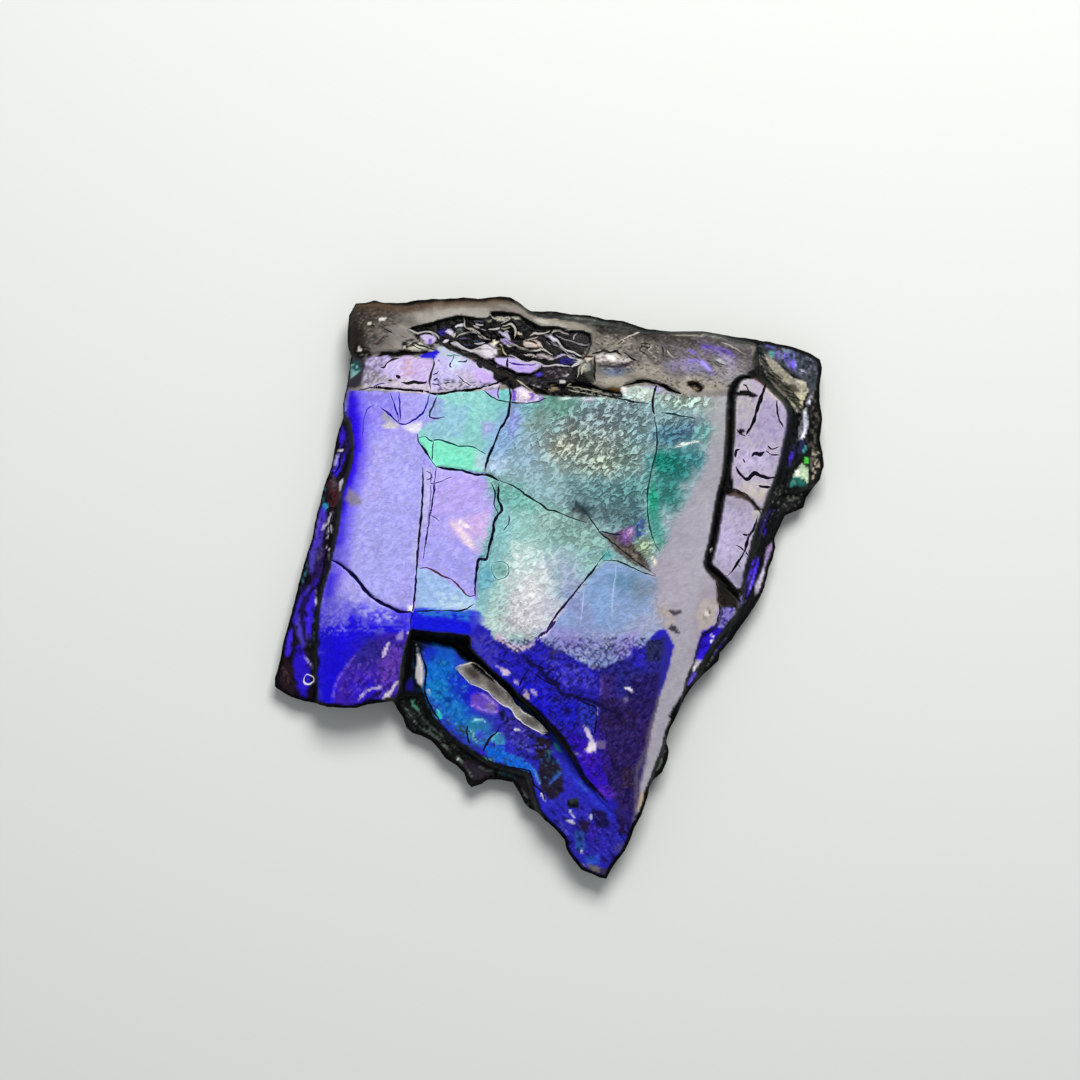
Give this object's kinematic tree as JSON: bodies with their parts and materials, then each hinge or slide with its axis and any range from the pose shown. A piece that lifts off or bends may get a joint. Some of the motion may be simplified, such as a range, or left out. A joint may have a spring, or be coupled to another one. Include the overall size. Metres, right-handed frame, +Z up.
{
  "type": "ammolite specimen",
  "caption": "Broken slab of fossil ammonite shell with blue, violet and green iridescent nacre on dark layered shale, lying flat on its lower face.",
  "frame": {"origin": "middle of the slab's bounding box, on the surface that it rests on", "axes": "+Z up out of the nacre, +Y from the pointed lower end to the long upper edge, +X to the right as seen from above"},
  "size_m": [0.0412, 0.0436, 0.0045],
  "materials": {
    "nacre_on_shale": "polished iridescent nacre above, rough dark shale on the edges and underside"
  },
  "bodies": {
    "root": {"ammolite_specimen": "nacre_on_shale"}
  },
  "joints": []
}
